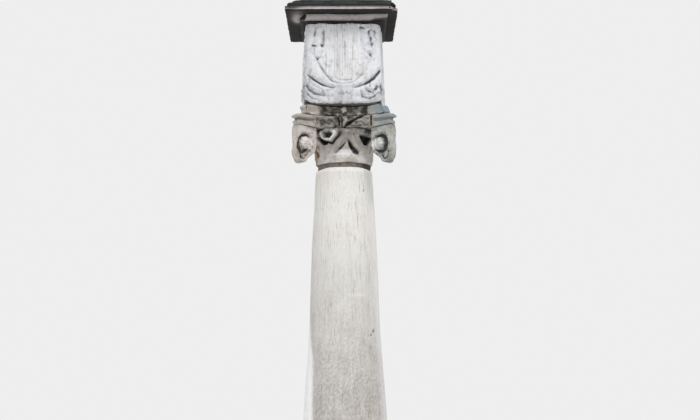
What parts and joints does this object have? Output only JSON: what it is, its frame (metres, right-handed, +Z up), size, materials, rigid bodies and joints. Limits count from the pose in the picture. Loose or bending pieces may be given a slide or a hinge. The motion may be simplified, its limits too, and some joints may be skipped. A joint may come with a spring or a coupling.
{
  "type": "wayside shrine",
  "caption": "Carved stone wayside shrine: stepped base, pedestal, tapering column with scrolled capital, square head block with carved drapery, cornice, roof and iron cross.",
  "frame": {"origin": "on the ground under the middle of the lower step, on the column's axis", "axes": "+Z up along the column, -Y towards the viewer of the front face, +X to that viewer's right"},
  "size_m": [1.24, 1.24, 4.26],
  "materials": {
    "step_stone": "matte",
    "mortar": "matte",
    "base_stone": "matte",
    "shaft_stone": "matte",
    "capital_stone": "matte",
    "head_stone": "matte",
    "cornice_stone": "matte",
    "roof_stone": "matte",
    "wrought_iron": "matte"
  },
  "bodies": {
    "root": {"abacus": "capital_stone", "bed_moulding": "cornice_stone", "capital_bell": "capital_stone", "column_base": "base_stone", "cross": "wrought_iron", "cross_socket": "roof_stone", "crown": "cornice_stone", "drapery_back": "head_stone", "drapery_front": "head_stone", "drapery_left": "head_stone", "drapery_right": "head_stone", "fleuron_back": "capital_stone", "fleuron_front": "capital_stone", "fleuron_left": "capital_stone", "fleuron_right": "capital_stone", "head_block": "head_stone", "head_mortar": "mortar", "head_seat": "capital_stone", "lower_step_back": "step_stone", "lower_step_front": "step_stone", "lower_step_left": "step_stone", "lower_step_right": "step_stone", "neck_joint": "mortar", "pedestal": "base_stone", "pedestal_base": "base_stone", "pedestal_cap": "base_stone", "pedestal_mortar": "mortar", "plinth": "base_stone", "plinth_mortar": "mortar", "roof": "roof_stone", "shaft": "shaft_stone", "shaft_mortar": "mortar", "step_core": "step_stone", "upper_step_left": "step_stone", "upper_step_right": "step_stone", "volute_back_left": "capital_stone", "volute_back_right": "capital_stone", "volute_front_left": "capital_stone", "volute_front_right": "capital_stone"}
  },
  "joints": []
}
